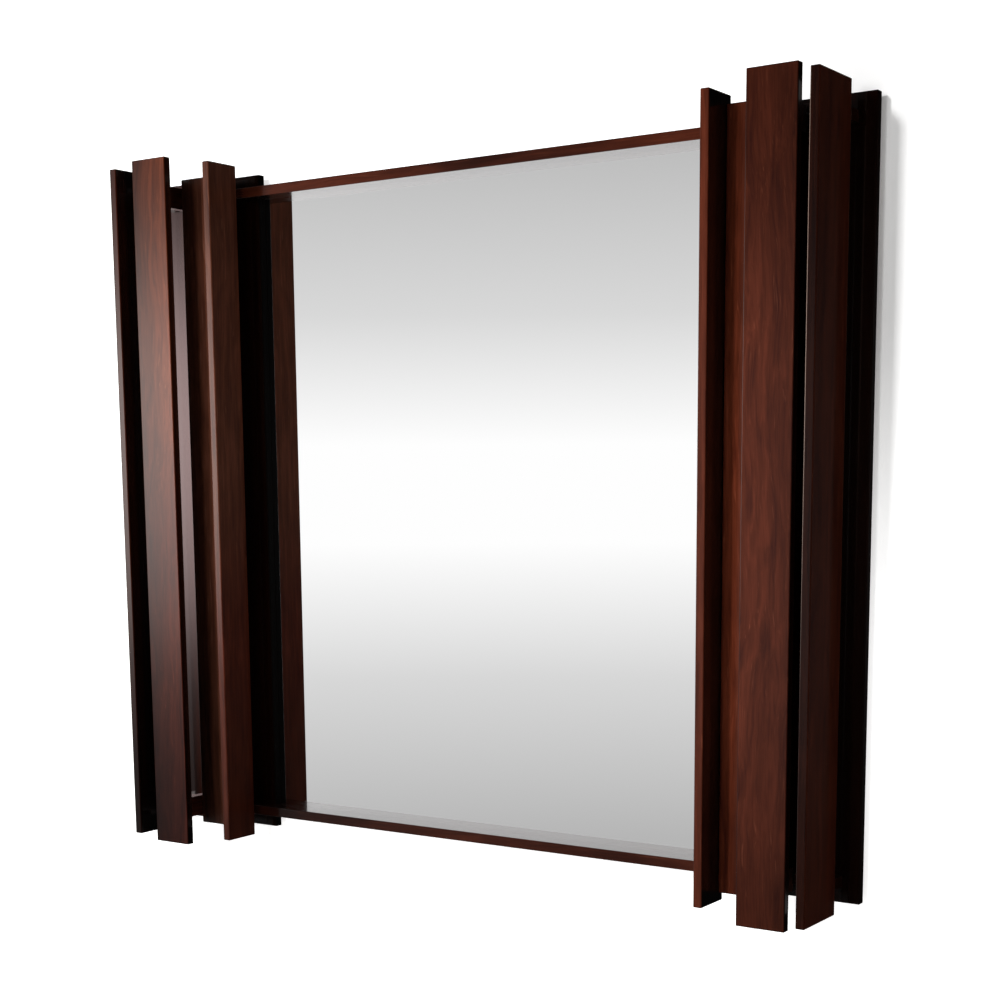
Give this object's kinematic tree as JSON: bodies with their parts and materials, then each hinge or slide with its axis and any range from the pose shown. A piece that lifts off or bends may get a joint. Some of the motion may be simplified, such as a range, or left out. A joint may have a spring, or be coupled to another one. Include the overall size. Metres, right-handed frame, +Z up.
{
  "type": "wall mirror",
  "caption": "Wall mirror between two columns of staggered upright dark wood boards and fins, joined by slim rails, with a backing panel and keyhole hanging plates.",
  "frame": {"origin": "middle of the backing panel's rear face, where the mirror lies against the wall", "axes": "+X along the width to the viewer's right, +Y into the wall, +Z up"},
  "size_m": [1.156, 0.13, 1],
  "materials": {
    "rosewood": "satin varnish",
    "mirror": "silvered glass",
    "plywood": "bare",
    "pine": "bare",
    "beech": "bare",
    "steel": "zinc plated"
  },
  "bodies": {
    "root": {"left_back_board": "rosewood", "right_back_board": "rosewood", "left_outer_fin": "rosewood", "right_outer_fin": "rosewood", "left_inner_fin": "rosewood", "right_inner_fin": "rosewood", "left_mid_board": "rosewood", "right_mid_board": "rosewood", "left_front_board": "rosewood", "right_front_board": "rosewood", "left_top_spacer": "rosewood", "right_top_spacer": "rosewood", "left_bottom_spacer": "rosewood", "right_bottom_spacer": "rosewood", "top_rail": "rosewood", "bottom_rail": "rosewood", "mirror_glass": "mirror", "backing_panel": "plywood", "left_packing_strip": "pine", "right_packing_strip": "pine", "left_hanging_plate": "steel", "right_hanging_plate": "steel", "fin_screws": "steel", "mid_board_screws": "steel", "panel_screws": "steel", "plate_screws": "steel", "front_board_dowels": "beech"}
  },
  "joints": []
}
